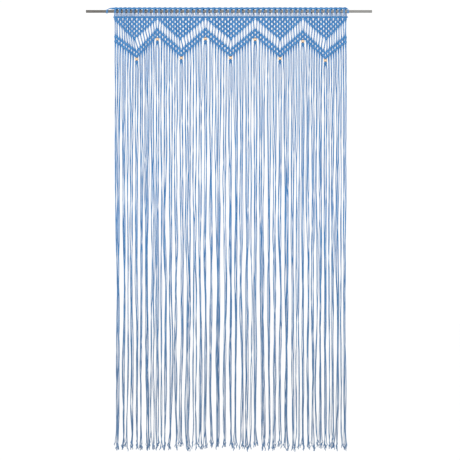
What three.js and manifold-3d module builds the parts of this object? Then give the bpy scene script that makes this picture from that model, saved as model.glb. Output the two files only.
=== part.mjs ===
// A macrame curtain of blue cotton cord, hung on a thin metal rod.
// Millimetres, +Z up. The origin is on the rod's axis at its mid-length, and -Y is the side that is seen.
import * as THREE from "three";
import { mergeVertices } from "three/addons/utils/BufferGeometryUtils.js";
import Module from "manifold-3d";

const wasm = await Module();
wasm.setup();

// Rod
const ROD_LENGTH = 1546;
const ROD_DIAMETER = 15;
const ROD_SIDES = 16;

// Cord and the clearance between separate pieces
const CORD_WIDTH = 4;
const PAIR_WIDTH = 8;
const PAIR_DEPTH = 4.6;
const PAIR_ROOT = 3;
const PAIR_TOP_COLUMN = 0.25;
const PAIR_FOOT_COLUMN = 0.68;
const SIDE_FOOT_COLUMN = 0.55;
const GAP = 0.3;
const SLOPED_GAP = 0.45;
const SAME_POINT = 1e-4;

// Net of square knots: nine columns from a triangle's middle to its corner, and nine rows to its tip
const COLUMNS = 9;
const ROWS = 9;
const ROW_PITCH = 12.65;
const FIRST_ROW_Z = -43.2;
const NET_THICKNESS = 8;
const HOLE_HALF_WIDTH = 6.2;
const HOLE_HALF_HEIGHT = 7.5;
const TOP_HOLE_RISE = 6.5;
const RIM_TOP_Z = -34.8;
const TIP_BELOW_LAST_ROW = 7;
const KNOT_HALF_WIDTH = 7.8;
const KNOT_SHOULDER = 2;

// Ridge along a line of knots
const RIDGE_WIDTH = 6;
const LOWER_RIDGE_WIDTH = 4.6;
const RIDGE_HEIGHT = 2.2;
const RIDGE_SINK = 0.6;
const RIDGE_STOP = 0.3;

// Zigzag band: height of its upper edge, parting line and backing strip, measured from its row of holes
const BAND_TOP = 18.6;
const BAND_BOTTOM = -15.2;
const STRIP_TOP = -15.7;
const STRIP_BOTTOM = -18.5;
const STRIP_THICKNESS = 6;
const UPPER_LINE = 13;
const LOWER_LINE = -11.4;

// Where two triangles meet and the band has a peak, from left to right; the outermost are the sides
const PEAKS = [
  { x: -623, drop: 140 },
  { x: -387, drop: 114 },
  { x: -127, drop: 112 },
  { x: 142, drop: 115 },
  { x: 399, drop: 125 },
  { x: 639, drop: 143 },
];

// Middle of each triangle, and of the band's valley below it
const VALLEYS = [
  { apex: -512, x: -499, drop: 231 },
  { apex: -263, x: -258, drop: 225 },
  { apex: 11, x: 8, drop: 224 },
  { apex: 276, x: 276, drop: 228 },
  { apex: 526, x: 521, drop: 238 },
];

// Heading: cord above the rod, strands round the rod, and the bar of hitches below
const HEADING_Z = 17.3;
const HEADING_HALF = 3.7;
const HEADING_END = { left: 16, right: 4 };
const LOOP_OUT = { left: 22, right: 11 };
const LOOP_RADIUS = 12;
const LOOP_CORD_HALF = 2;
const LOOP_CORD_Z = 10;
const LOOP_WIDTH = 5;
const LOOP_SIDES = 8;
const POCKET_BULGE = { y: 11.4, z: 2 };
const POCKET_TOP = { y: -0.7, z: 16 };
const POCKET_BOTTOM = { y: 0.6, z: -30 };
const POCKET_OFFSET = 5;
const BAR_TOP_Z = -27;
const BAR_BOTTOM_Z = -34.5;
const BAR_RIDGE_Y = -6;
const BAR_OVERHANG = { left: 2, right: 6 };

// Beads
const BEAD_DIAMETER = 20;
const BEAD_HEIGHT = 16;
const BEAD_BORE_RADIUS = 5;
const BEAD_SIDES = 8;
const VALLEY_BEAD_DROP = 26.9;
const PEAK_BEAD_DROP = 36;
const BUNDLE_WIDTH = 6;
const BEAD_KNOT = { width: 12, depth: 10, height: 10, topShare: 0.8, footShare: 0.65 };
const BUNDLE_STRANDS = 4;
const BUNDLE_SPACING = 2.6;
const BEAD_SHOULDER = { radius: 8.6, rise: 4.8 };

// Fringe: strands at half-column spacing in clusters between two bundles, and the drop to the ends
const CLUSTERS = [3, 4, 4, 3];
const FIRST_COLUMN = 1;
const SIDE_STRANDS = 2;
const SIDE_COLUMN = COLUMNS - 0.25;
const WANDER_STEP = { first: 2.4, second: 0.9 };
const WANDER_NUMBER = { repeat: 10, peak: 5, side: 7 };
const STRAND_RADIUS = 2.5;
const STRAND_SPACING = 5.2;
const CLOSED_UP = 0.55;
const CLUSTER_DRIFT = 4;
const CLUSTER_DEPTH = 2;
const END_DROP = 2352;
const END_UNEVEN = 6;
const END_STAGGER = [0, 15, -8, 9];
const END_KNOT_RADIUS = 4.7;
const END_KNOT_LENGTH = 15;
const END_TAIL = 7;
const END_TAIL_RADIUS = 2;

const COTTON = new THREE.MeshStandardMaterial({ color: "#5585c4", roughness: 0.9, metalness: 0 });
const WOOD = new THREE.MeshStandardMaterial({ color: "#d9b98c", roughness: 0.6, metalness: 0 });
const METAL = new THREE.MeshStandardMaterial({ color: "#8d8a84", roughness: 0.4, metalness: 0.9 });

// A closed geometry as a solid for joining and cutting, turned to face out.
function solidOf(geometry) {
  const bare = geometry.clone();
  bare.deleteAttribute("normal");
  bare.deleteAttribute("uv");
  const merged = mergeVertices(bare, SAME_POINT);
  const vertProperties = new Float32Array(merged.attributes.position.array);
  const triVerts = new Uint32Array(merged.index.array);
  const solid = new wasm.Manifold(new wasm.Mesh({ numProp: 3, vertProperties, triVerts }));
  if (solid.volume() > 0) return solid;
  return new wasm.Manifold(new wasm.Mesh({ numProp: 3, vertProperties, triVerts: triVerts.reverse() }));
}

function joined(geometries) {
  return geometries.map(solidOf).reduce((whole, piece) => whole.add(piece));
}

function meshOf(name, solid, material) {
  const made = solid.getMesh();
  const geometry = new THREE.BufferGeometry();
  geometry.setAttribute("position", new THREE.BufferAttribute(made.vertProperties, 3));
  geometry.setIndex(new THREE.BufferAttribute(made.triVerts, 1));
  geometry.computeVertexNormals();
  const mesh = new THREE.Mesh(geometry, material);
  mesh.name = name;
  return mesh;
}

// A closed skin over rings of equal count, which all turn the same way; fans close its ends.
function loft(rings) {
  const count = rings[0].length;
  const points = rings.flat();
  const faces = [];
  for (let ring = 0; ring + 1 < rings.length; ring += 1) {
    for (let i = 0; i < count; i += 1) {
      const a = ring * count + i;
      const b = ring * count + ((i + 1) % count);
      faces.push(a, a + count, b, b, a + count, b + count);
    }
  }
  const last = (rings.length - 1) * count;
  for (let i = 1; i + 1 < count; i += 1) {
    faces.push(0, i, i + 1);
    faces.push(last, last + i + 1, last + i);
  }
  const geometry = new THREE.BufferGeometry().setFromPoints(points);
  geometry.setIndex(faces);
  return geometry;
}

// A ring of equal sides round a point, in a level plane.
function levelRing(x, y, z, radius, sides, turn = 0) {
  return Array.from({ length: sides }, (_, i) => {
    const angle = turn + (2 * Math.PI * i) / sides;
    return new THREE.Vector3(x + radius * Math.cos(angle), y + radius * Math.sin(angle), z);
  });
}

// A ring of four corners, width along X and depth along Y, whose corners may lie at different heights.
function boxRing(x, y, width, depth, heightAt) {
  const corners = [
    [-1, -1],
    [1, -1],
    [1, 1],
    [-1, 1],
  ];
  return corners.map(([i, j]) => {
    const cornerX = x + (i * width) / 2;
    return new THREE.Vector3(cornerX, y + (j * depth) / 2, heightAt(cornerX));
  });
}

// A three-sided ring for a pair of strands, flat on one face and with its edge on the other.
function pairRing(x, y, width, depth, face, heightAt) {
  const corners = [
    [-0.5, -0.5],
    [0.5, -0.5],
    [0, 0.5],
  ];
  return corners.map(([i, j]) => {
    const cornerX = x + i * width;
    return new THREE.Vector3(cornerX, y + face * j * depth, heightAt(cornerX));
  });
}

// Points [x, z] of a plate, extruded to its thickness along Y.
function plate(outline, holes, thickness) {
  const shape = new THREE.Shape(outline.map(([x, z]) => new THREE.Vector2(x, z)));
  shape.holes = holes.map((hole) => new THREE.Path(hole.map(([x, z]) => new THREE.Vector2(x, z))));
  const geometry = new THREE.ExtrudeGeometry(shape, { depth: thickness, bevelEnabled: false });
  geometry.rotateX(Math.PI / 2);
  geometry.translate(0, thickness / 2, 0);
  return geometry;
}

function diamond(x, z, rise = HOLE_HALF_HEIGHT) {
  return [
    [x - HOLE_HALF_WIDTH, z],
    [x, z - HOLE_HALF_HEIGHT],
    [x + HOLE_HALF_WIDTH, z],
    [x, z + rise],
  ];
}

// A three-sided ridge on a plate's front face, from one point [x, z] to another.
function ridge([x0, z0], [x1, z1], width = RIDGE_WIDTH) {
  const front = -NET_THICKNESS / 2;
  const length = Math.hypot(x1 - x0, z1 - z0);
  const acrossX = ((z1 - z0) / length) * (width / 2);
  const acrossZ = ((x0 - x1) / length) * (width / 2);
  const ring = (x, z) => [
    new THREE.Vector3(x - acrossX, front + RIDGE_SINK, z - acrossZ),
    new THREE.Vector3(x, front - RIDGE_HEIGHT, z),
    new THREE.Vector3(x + acrossX, front + RIDGE_SINK, z + acrossZ),
  ];
  return loft([ring(x0, z0), ring(x1, z1)]);
}

// The x of a column of the triangle or the band, counted both ways from the middle to the peaks beside it.
function netX(repeat, column) {
  const side = column < 0 ? PEAKS[repeat] : PEAKS[repeat + 1];
  const middle = VALLEYS[repeat].apex;
  return middle + ((side.x - middle) * Math.abs(column)) / COLUMNS;
}

function bandX(repeat, column) {
  const side = column < 0 ? PEAKS[repeat] : PEAKS[repeat + 1];
  const middle = VALLEYS[repeat].x;
  return middle + ((side.x - middle) * Math.abs(column)) / COLUMNS;
}

const isCurtainSide = (repeat, side) => (side < 0 ? repeat === 0 : repeat === VALLEYS.length - 1);

// Height of the band's row of holes at a column.
function bandZ(repeat, column) {
  const side = column < 0 ? PEAKS[repeat] : PEAKS[repeat + 1];
  const valley = VALLEYS[repeat];
  return -valley.drop + ((valley.drop - side.drop) * Math.abs(column)) / COLUMNS;
}

// Height of the band's row of holes at any x.
function bandHeight(x) {
  const stops = VALLEYS.flatMap((valley, i) => [PEAKS[i], valley]).concat(PEAKS[PEAKS.length - 1]);
  const right = Math.max(1, stops.findIndex((stop, i) => i > 0 && (x <= stop.x || i === stops.length - 1)));
  const a = stops[right - 1];
  const b = stops[right];
  return -(a.drop + ((b.drop - a.drop) * (x - a.x)) / (b.x - a.x));
}

const rowZ = (row) => FIRST_ROW_Z - ROW_PITCH * (row - 1);

// Triangle of knots with its holes, ridged along both sloping edges.
function netPlate(repeat) {
  const corner = (side) => netX(repeat, side * COLUMNS) - side * (GAP / 2);
  const outerKnot = (side) => netX(repeat, side * (COLUMNS - 1));
  const shoulder = (side) => [outerKnot(side) + side * KNOT_HALF_WIDTH, rowZ(1) - KNOT_SHOULDER];
  const rim = rowZ(1) + TOP_HOLE_RISE;
  const outline = [
    [corner(-1), RIM_TOP_Z],
    [corner(-1), rim],
    shoulder(-1),
    [netX(repeat, 0), rowZ(ROWS) - TIP_BELOW_LAST_ROW],
    shoulder(1),
    [corner(1), rim],
    [corner(1), RIM_TOP_Z],
  ];
  const holes = [];
  for (let row = 1; row < ROWS; row += 1) {
    for (let column = row - COLUMNS + 1; column < COLUMNS - row; column += 2) {
      holes.push(diamond(netX(repeat, column), rowZ(row), row === 1 ? TOP_HOLE_RISE : HOLE_HALF_HEIGHT));
    }
  }
  const tip = [netX(repeat, 0), rowZ(ROWS)];
  const ridges = [-1, 1].map((side) => ridge(tip, [outerKnot(side), rowZ(1)]));
  return [plate(outline, holes, NET_THICKNESS), ...ridges];
}

// Pairs of strands from a triangle's sloping edges down to the band, leaning towards the peaks.
function hangingPairs(repeat) {
  const pairs = [];
  for (const side of [-1, 1]) {
    for (let column = 0; column < COLUMNS; column += 1) {
      const topX = netX(repeat, side * (column + PAIR_TOP_COLUMN));
      const isAtSide = column === COLUMNS - 1 && isCurtainSide(repeat, side);
      const bottomX = bandX(repeat, side * (column + (isAtSide ? SIDE_FOOT_COLUMN : PAIR_FOOT_COLUMN)));
      const topZ = rowZ(ROWS - column) + PAIR_ROOT;
      const onBand = (x) => bandHeight(x) + BAND_TOP + SLOPED_GAP;
      pairs.push(
        loft([
          pairRing(bottomX, 0, PAIR_WIDTH, PAIR_DEPTH, -1, onBand),
          pairRing(topX, 0, PAIR_WIDTH, PAIR_DEPTH, -1, () => topZ),
        ]),
      );
    }
  }
  return pairs;
}

// Corner points of the band's line at a given height above its holes, from the left side to the right.
function bandLine(height) {
  const line = [];
  PEAKS.forEach((peak, i) => {
    line.push([peak.x, height - peak.drop]);
    if (i < VALLEYS.length) line.push([VALLEYS[i].x, height - VALLEYS[i].drop]);
  });
  return line;
}

function zigzagBand() {
  const outline = [...bandLine(BAND_BOTTOM), ...bandLine(BAND_TOP).reverse()];
  const holes = [];
  const ridges = [];
  VALLEYS.forEach((valley, repeat) => {
    for (let column = 1 - COLUMNS; column < COLUMNS; column += 1) {
      holes.push(diamond(bandX(repeat, column), bandZ(repeat, column)));
    }
    for (const side of [-1, 1]) {
      const inner = side * RIDGE_STOP;
      const outer = side * (COLUMNS - 2 * RIDGE_STOP);
      const along = (line, width) =>
        ridge(
          [bandX(repeat, inner), bandZ(repeat, inner) + line],
          [bandX(repeat, outer), bandZ(repeat, outer) + line],
          width,
        );
      ridges.push(along(UPPER_LINE, RIDGE_WIDTH), along(LOWER_LINE, LOWER_RIDGE_WIDTH));
    }
  });
  PEAKS.slice(1, -1).forEach((peak) => holes.push(diamond(peak.x, -peak.drop)));
  return joined([plate(outline, holes, NET_THICKNESS), ...ridges]);
}

// Heading cord, its end loops round the rod, the strands round the rod, and the bar of hitches.
function heading() {
  const left = PEAKS[0].x;
  const right = PEAKS[PEAKS.length - 1].x;
  const leftLoop = left - HEADING_END.left - LOOP_OUT.left;
  const rightLoop = right + HEADING_END.right + LOOP_OUT.right;
  const pieces = [];

  const cordRing = (x, z, half) =>
    [
      [half, -half],
      [half, half],
      [-half, half],
      [-half, -half],
    ].map(([y, dz]) => new THREE.Vector3(x, y, z + dz));
  pieces.push(
    loft([
      cordRing(leftLoop, LOOP_CORD_Z, LOOP_CORD_HALF),
      cordRing(left - HEADING_END.left, HEADING_Z, HEADING_HALF),
      cordRing(right + HEADING_END.right, HEADING_Z, HEADING_HALF),
      cordRing(rightLoop, LOOP_CORD_Z, LOOP_CORD_HALF),
    ]),
  );

  const inner = (ROD_DIAMETER / 2 + GAP) / Math.cos(Math.PI / LOOP_SIDES);
  const loopProfile = [
    new THREE.Vector2(inner, -LOOP_WIDTH / 2),
    new THREE.Vector2(LOOP_RADIUS, -LOOP_WIDTH / 2),
    new THREE.Vector2(LOOP_RADIUS, LOOP_WIDTH / 2),
    new THREE.Vector2(inner, LOOP_WIDTH / 2),
    new THREE.Vector2(inner, -LOOP_WIDTH / 2),
  ];
  for (const x of [leftLoop, rightLoop]) {
    const loop = new THREE.LatheGeometry(loopProfile, LOOP_SIDES);
    loop.rotateZ(Math.PI / 2);
    loop.translate(x, 0, 0);
    pieces.push(loop);
  }

  VALLEYS.forEach((valley, repeat) => {
    for (let column = 1 - COLUMNS; column < COLUMNS; column += 2) {
      for (const face of [-1, 1]) {
        const x = netX(repeat, column) + face * POCKET_OFFSET;
        const ring = ({ y, z }) => pairRing(x, face * y, PAIR_WIDTH, CORD_WIDTH, face, () => z);
        pieces.push(loft([ring(POCKET_BOTTOM), ring(POCKET_BULGE), ring(POCKET_TOP)]));
      }
    }
  });

  const half = NET_THICKNESS / 2;
  const barRing = (x) =>
    [
      [half, BAR_TOP_Z],
      [-half, BAR_TOP_Z],
      [BAR_RIDGE_Y, (BAR_TOP_Z + BAR_BOTTOM_Z) / 2],
      [-half, BAR_BOTTOM_Z],
      [half, BAR_BOTTOM_Z],
    ].map(([y, z]) => new THREE.Vector3(x, y, z));
  pieces.push(loft([barRing(left - BAR_OVERHANG.left), barRing(right + BAR_OVERHANG.right)]));
  return joined(pieces);
}

// A steady wander between -1 and 1 for a numbered cluster, from two waves out of step.
const wander = (number, phase) => {
  return Math.sin(WANDER_STEP.first * number + phase) * Math.cos(WANDER_STEP.second * number + 2 * phase);
};

// One strand from its root to the overhand knot at its end.
function strand(route, endZ, rootHeight) {
  const rings = route.map(([x, y, z]) => levelRing(x, y, z, STRAND_RADIUS, 3, Math.PI / 2));
  if (rootHeight) rings[0].forEach((corner) => corner.setZ(rootHeight(corner.x)));
  const [x, y] = route[route.length - 1];
  const knotTop = endZ + END_TAIL + END_KNOT_LENGTH;
  rings.push(levelRing(x, y, knotTop, STRAND_RADIUS, 3, Math.PI / 2));
  rings.push(levelRing(x, y, knotTop - END_KNOT_LENGTH / 2, END_KNOT_RADIUS, 3, Math.PI / 2));
  rings.push(levelRing(x, y, endZ, END_TAIL_RADIUS, 3, Math.PI / 2));
  return loft(rings.reverse());
}

// The four strands of a bead, gathered through its bore into a knot, then hanging apart.
function beadBundle(x, topHeight, beadZ, number) {
  const knotTop = beadZ - BEAD_HEIGHT / 2 - GAP;
  const inStrip = (cornerX) => Math.min(topHeight(x), topHeight(cornerX));
  const knotMiddle = knotTop - BEAD_KNOT.height / 2;
  const knotRing = (share, z) => boxRing(x, 0, BEAD_KNOT.width * share, BEAD_KNOT.depth * share, () => z);
  const pieces = [
    loft([
      knotRing(BEAD_KNOT.footShare, knotTop - BEAD_KNOT.height),
      knotRing(1, knotMiddle),
      knotRing(BEAD_KNOT.topShare, knotTop),
    ]),
    loft([
      boxRing(x, 0, BUNDLE_WIDTH, BUNDLE_WIDTH, () => knotMiddle),
      boxRing(x, 0, BUNDLE_WIDTH, BUNDLE_WIDTH, inStrip),
    ]),
  ];
  for (let i = 0; i < BUNDLE_STRANDS; i += 1) {
    const rootX = x + (i - (BUNDLE_STRANDS - 1) / 2) * BUNDLE_SPACING;
    pieces.push(fringeStrand(rootX, () => knotMiddle, x, i, BUNDLE_STRANDS, number));
  }
  return pieces;
}

// A strand of a cluster: it leaves its root, closes up with its cluster, and ends in its own height.
function fringeStrand(rootX, rootHeight, clusterX, place, count, number) {
  const rootZ = rootHeight(rootX);
  const offset = place - (count - 1) / 2;
  const endZ = -END_DROP + END_STAGGER[place] + END_UNEVEN * wander(number, 1);
  const lowX = clusterX + offset * STRAND_SPACING + CLUSTER_DRIFT * wander(number, 2);
  const lowY = (place % 2 ? CLUSTER_DEPTH : -CLUSTER_DEPTH) + wander(number, 3);
  const lowZ = rootZ - CLOSED_UP * (rootZ - endZ);
  const route = [
    [rootX, 0, rootZ],
    [lowX, lowY, lowZ],
  ];
  return strand(route, endZ, rootHeight);
}

// Narrow strip under one repeat of the band, with the strands and the two bead bundles that hang from it.
function fringe(repeat) {
  const isFirst = isCurtainSide(repeat, -1);
  const isLast = isCurtainSide(repeat, 1);
  const leftX = PEAKS[repeat].x + (isFirst ? 0 : GAP + BUNDLE_WIDTH);
  const rightX = PEAKS[repeat + 1].x + (isLast ? 0 : BUNDLE_WIDTH);
  const valleyX = VALLEYS[repeat].x;
  const stops = isLast ? [leftX, valleyX, rightX] : [leftX, valleyX, PEAKS[repeat + 1].x, rightX];
  const edge = (height) => stops.map((x) => [x, bandHeight(x) + height]);
  const pieces = [plate([...edge(STRIP_BOTTOM), ...edge(STRIP_TOP).reverse()], [], STRIP_THICKNESS)];
  const stripHeight = (x) => bandHeight(x) + (STRIP_TOP + STRIP_BOTTOM) / 2;

  for (const side of [-1, 1]) {
    let placed = 0;
    CLUSTERS.forEach((count, cluster) => {
      const middle = FIRST_COLUMN + (placed + count / 2) / 2;
      const number = repeat * WANDER_NUMBER.repeat + side * (cluster + 1);
      for (let i = 0; i < count; i += 1) {
        const place = side > 0 ? i : count - 1 - i;
        const rootX = bandX(repeat, side * (FIRST_COLUMN + (placed + i + 0.5) / 2));
        pieces.push(fringeStrand(rootX, stripHeight, bandX(repeat, side * middle), place, count, number));
      }
      placed += count;
    });
  }

  const valleyZ = -VALLEYS[repeat].drop;
  pieces.push(...beadBundle(valleyX, stripHeight, valleyZ - VALLEY_BEAD_DROP, repeat));
  if (!isLast) {
    const peak = PEAKS[repeat + 1];
    const number = repeat + WANDER_NUMBER.peak;
    pieces.push(...beadBundle(peak.x, stripHeight, -peak.drop - PEAK_BEAD_DROP, number));
  }
  for (const side of [-1, 1].filter((end) => isCurtainSide(repeat, end))) {
    const clusterX = bandX(repeat, side * (SIDE_COLUMN - 1 / 4));
    for (let i = 0; i < SIDE_STRANDS; i += 1) {
      const x = bandX(repeat, side * (SIDE_COLUMN - i / 2));
      const place = side > 0 ? SIDE_STRANDS - 1 - i : i;
      const number = WANDER_NUMBER.side + side;
      pieces.push(fringeStrand(x, stripHeight, clusterX, place, SIDE_STRANDS, number));
    }
  }
  return joined(pieces);
}

// Turned wooden bead with its bore.
function beadGeometry() {
  const half = BEAD_HEIGHT / 2;
  const profile = [
    [BEAD_BORE_RADIUS, -half],
    [BEAD_SHOULDER.radius, -BEAD_SHOULDER.rise],
    [BEAD_DIAMETER / 2, 0],
    [BEAD_SHOULDER.radius, BEAD_SHOULDER.rise],
    [BEAD_BORE_RADIUS, half],
    [BEAD_BORE_RADIUS, -half],
  ].map(([radius, height]) => new THREE.Vector2(radius, height));
  const geometry = new THREE.LatheGeometry(profile, BEAD_SIDES);
  geometry.rotateX(Math.PI / 2);
  return geometry;
}

const curtain = new THREE.Group();

const rodGeometry = new THREE.CylinderGeometry(ROD_DIAMETER / 2, ROD_DIAMETER / 2, ROD_LENGTH, ROD_SIDES);
rodGeometry.rotateZ(Math.PI / 2);
curtain.add(meshOf("rod", solidOf(rodGeometry), METAL));
curtain.add(meshOf("heading", heading(), COTTON));
VALLEYS.forEach((valley, repeat) => {
  curtain.add(meshOf(`net_${repeat + 1}`, joined([...netPlate(repeat), ...hangingPairs(repeat)]), COTTON));
});
curtain.add(meshOf("zigzag_band", zigzagBand(), COTTON));
VALLEYS.forEach((valley, repeat) => {
  curtain.add(meshOf(`fringe_${repeat + 1}`, fringe(repeat), COTTON));
});

// Beads from left to right, by turns under a valley and under a peak.
const bead = solidOf(beadGeometry());
for (let i = 0; i < VALLEYS.length + PEAKS.length - 2; i += 1) {
  const isValley = i % 2 === 0;
  const place = isValley ? VALLEYS[i / 2] : PEAKS[(i + 1) / 2];
  const drop = place.drop + (isValley ? VALLEY_BEAD_DROP : PEAK_BEAD_DROP);
  const mesh = meshOf(`bead_${i + 1}`, bead, WOOD);
  mesh.position.set(place.x, 0, -drop);
  curtain.add(mesh);
}

export default curtain;
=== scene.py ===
import math

import bpy
import numpy as np
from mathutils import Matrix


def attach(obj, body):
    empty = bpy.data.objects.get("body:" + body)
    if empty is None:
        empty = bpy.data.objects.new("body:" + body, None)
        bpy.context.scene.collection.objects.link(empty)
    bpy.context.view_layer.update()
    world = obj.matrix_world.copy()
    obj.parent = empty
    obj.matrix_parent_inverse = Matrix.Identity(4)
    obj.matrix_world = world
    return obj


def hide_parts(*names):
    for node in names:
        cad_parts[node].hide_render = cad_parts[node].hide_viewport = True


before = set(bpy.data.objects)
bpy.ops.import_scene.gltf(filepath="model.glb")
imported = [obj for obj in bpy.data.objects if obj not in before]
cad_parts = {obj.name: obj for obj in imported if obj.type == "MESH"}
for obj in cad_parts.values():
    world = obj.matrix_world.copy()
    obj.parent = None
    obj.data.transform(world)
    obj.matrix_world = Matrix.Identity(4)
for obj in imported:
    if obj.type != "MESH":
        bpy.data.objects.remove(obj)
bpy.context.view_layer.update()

MM = 0.001

# The view: level and square to the curtain from far off, as in the photograph, whose 460 pixels span 2.486 m here.
# The rod's middle is at pixel (229, 11.4) of that frame.
PHOTO_PIXELS = 460
MM_PER_PIXEL = 5.405
ROD_PIXEL = (229.0, 11.4)
CAMERA_DISTANCE = 12.0
SENSOR_MM = 36.0

view_span = PHOTO_PIXELS * MM_PER_PIXEL * MM
camera_data = bpy.data.cameras.new("camera")
camera_data.sensor_width = SENSOR_MM
camera_data.lens = SENSOR_MM * CAMERA_DISTANCE / view_span
camera_data.clip_end = 100
camera = bpy.data.objects.new("camera", camera_data)
camera.location = (
    (PHOTO_PIXELS / 2 - ROD_PIXEL[0]) * MM_PER_PIXEL * MM,
    -CAMERA_DISTANCE,
    -(PHOTO_PIXELS / 2 - ROD_PIXEL[1]) * MM_PER_PIXEL * MM,
)
camera.rotation_euler = (math.radians(90), 0, 0)
bpy.context.collection.objects.link(camera)
bpy.context.scene.camera = camera

# Rod: a thin steel tube, drawn and brushed along its length, with plain cut ends.
# It stays a little dull, because the brushing scatters what it mirrors, and painted light makes its colour paler
# towards its right end.
ROD_LENGTH = 1546
ROD_RADIUS = 7.5
ROD_WALL = 1.0
ROD_SIDES = 64
ROD_END_BEVEL = 0.4
ROD_CRISP_DEGREES = 35


def linear(hex_colour):
    """An sRGB hex colour as the linear colour that a shader takes."""
    parts = [int(hex_colour[i : i + 2], 16) / 255 for i in (1, 3, 5)]
    return [p / 12.92 if p <= 0.04045 else ((p + 0.055) / 1.055) ** 2.4 for p in parts] + [1.0]


def node(tree, kind, settings=None, links=None):
    """Adds a shader node; settings name its properties or its inputs, and links feed its inputs."""
    made = tree.nodes.new(kind)
    for key, value in (settings or {}).items():
        if isinstance(key, int) or key in made.inputs:
            made.inputs[key].default_value = value
        else:
            setattr(made, key, value)
    for key, output in (links or {}).items():
        tree.links.new(output, made.inputs[key])
    return made


def new_material(name):
    material = bpy.data.materials.new(name)
    material.use_nodes = True
    tree = material.node_tree
    shader = tree.nodes["Principled BSDF"]
    return material, tree, shader


def mesh_piece(name, points, faces, materials, smooth=True, uvs=None):
    """A mesh object from points in millimetres and faces, with a map of (round, along) where the cord needs one."""
    mesh = bpy.data.meshes.new(name)
    mesh.vertices.add(len(points))
    mesh.vertices.foreach_set("co", (np.asarray(points, dtype=np.float32) * MM).ravel())
    sizes = np.array([len(f) for f in faces]) if isinstance(faces, list) else np.full(len(faces), faces.shape[1])
    corners = np.concatenate([np.ravel(f) for f in faces]) if isinstance(faces, list) else faces.ravel()
    mesh.loops.add(len(corners))
    mesh.loops.foreach_set("vertex_index", corners.astype(np.int32))
    mesh.polygons.add(len(sizes))
    mesh.polygons.foreach_set("loop_start", np.concatenate([[0], np.cumsum(sizes)[:-1]]).astype(np.int32))
    mesh.polygons.foreach_set("use_smooth", np.full(len(sizes), smooth))
    if uvs is not None:
        layer = mesh.uv_layers.new(name="lay")
        layer.data.foreach_set("uv", np.asarray(uvs, dtype=np.float32).ravel())
    mesh.update(calc_edges=True)
    mesh.validate()
    for material in materials:
        mesh.materials.append(material)
    piece = bpy.data.objects.new(name, mesh)
    bpy.context.collection.objects.link(piece)
    return piece


def turned(profile, sides, axis="z"):
    """Points and faces of a closed profile of (radius, height) turned round an axis."""
    angles = np.linspace(0, 2 * math.pi, sides, endpoint=False)
    points = []
    for radius, height in profile:
        ring = np.stack([radius * np.cos(angles), radius * np.sin(angles), np.full(sides, height)], axis=1)
        points.append(ring[:, [2, 0, 1]] if axis == "x" else ring)
    count = len(profile)
    faces = []
    for i in range(count):
        for j in range(sides):
            a, b = i * sides + j, i * sides + (j + 1) % sides
            c, d = ((i + 1) % count) * sides + (j + 1) % sides, ((i + 1) % count) * sides + j
            faces.append((a, b, c, d))
    return np.concatenate(points), np.array(faces)


half = ROD_LENGTH / 2
bore = ROD_RADIUS - ROD_WALL
rod_profile = [
    (bore, -half),
    (ROD_RADIUS - ROD_END_BEVEL, -half),
    (ROD_RADIUS, -half + ROD_END_BEVEL),
    (ROD_RADIUS, half - ROD_END_BEVEL),
    (ROD_RADIUS - ROD_END_BEVEL, half),
    (bore, half),
]

brushed_steel, tree, shader = new_material("brushed_steel_tube")
# Brush marks run along the tube. They are drawn about ten times as coarse as real ones, so that they show.
BRUSH_MARK_MM = 0.6
BRUSH_MARK_LENGTH_MM = 60
# Painted light: the steel's colour is lifted along the rod, so that it is paler towards the rod's right end.
PAINTED_LIGHT_FROM, PAINTED_LIGHT_TO = -0.6, 0.7
PAINTED_LIGHT_SHIFT = (-0.3, 0.45)
place = node(tree, "ShaderNodeTexCoord")
marks = node(
    tree,
    "ShaderNodeMapping",
    {"Scale": (1 / (BRUSH_MARK_LENGTH_MM * MM), 1 / (BRUSH_MARK_MM * MM), 1 / (BRUSH_MARK_MM * MM))},
    {"Vector": place.outputs["Object"]},
)
streaks = node(tree, "ShaderNodeTexNoise", {"Scale": 1.0, "Detail": 3.0}, {"Vector": marks.outputs["Vector"]})
along_rod = node(tree, "ShaderNodeSeparateXYZ", {}, {"Vector": place.outputs["Object"]})
painted_light_ramp = node(
    tree,
    "ShaderNodeMapRange",
    {"From Min": PAINTED_LIGHT_FROM, "From Max": PAINTED_LIGHT_TO, "To Min": PAINTED_LIGHT_SHIFT[0], "To Max": PAINTED_LIGHT_SHIFT[1]},
    {"Value": along_rod.outputs["X"]},
)
streaks_and_painted_light = node(tree, "ShaderNodeMath", {"operation": "ADD"}, {0: streaks.outputs["Fac"], 1: painted_light_ramp.outputs["Result"]})
steel_tone = node(tree, "ShaderNodeValToRGB", {}, {"Fac": streaks_and_painted_light.outputs[0]})
steel_tone.color_ramp.elements[0].color = linear("#55524e")
steel_tone.color_ramp.elements[1].color = linear("#949390")
steel_rough = node(tree, "ShaderNodeMapRange", {"To Min": 0.32, "To Max": 0.48}, {"Value": streaks.outputs["Fac"]})
steel_bump = node(tree, "ShaderNodeBump", {"Strength": 0.15, "Distance": 0.0001}, {"Height": streaks.outputs["Fac"]})
tree.links.new(steel_tone.outputs["Color"], shader.inputs["Base Color"])
tree.links.new(steel_rough.outputs["Result"], shader.inputs["Roughness"])
tree.links.new(steel_bump.outputs["Normal"], shader.inputs["Normal"])
shader.inputs["Metallic"].default_value = 1.0

rod_points, rod_faces = turned(rod_profile, ROD_SIDES, axis="x")
rod = mesh_piece("rod_tube", rod_points, rod_faces, [brushed_steel])
rod.modifiers.new("crisp_ends", "EDGE_SPLIT").split_angle = math.radians(ROD_CRISP_DEGREES)
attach(rod, "root")
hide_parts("rod")

# Cord: cotton, laid up from three plies into a soft round cord of about 4 mm, dyed blue and unglazed.
# The eye sees the slanting lay, a matt fibrous face and a darker line of painted shade where two plies meet.
CORD_RADIUS = 2.1
LAY_LENGTH = 13.0
PLIES = 3

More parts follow.
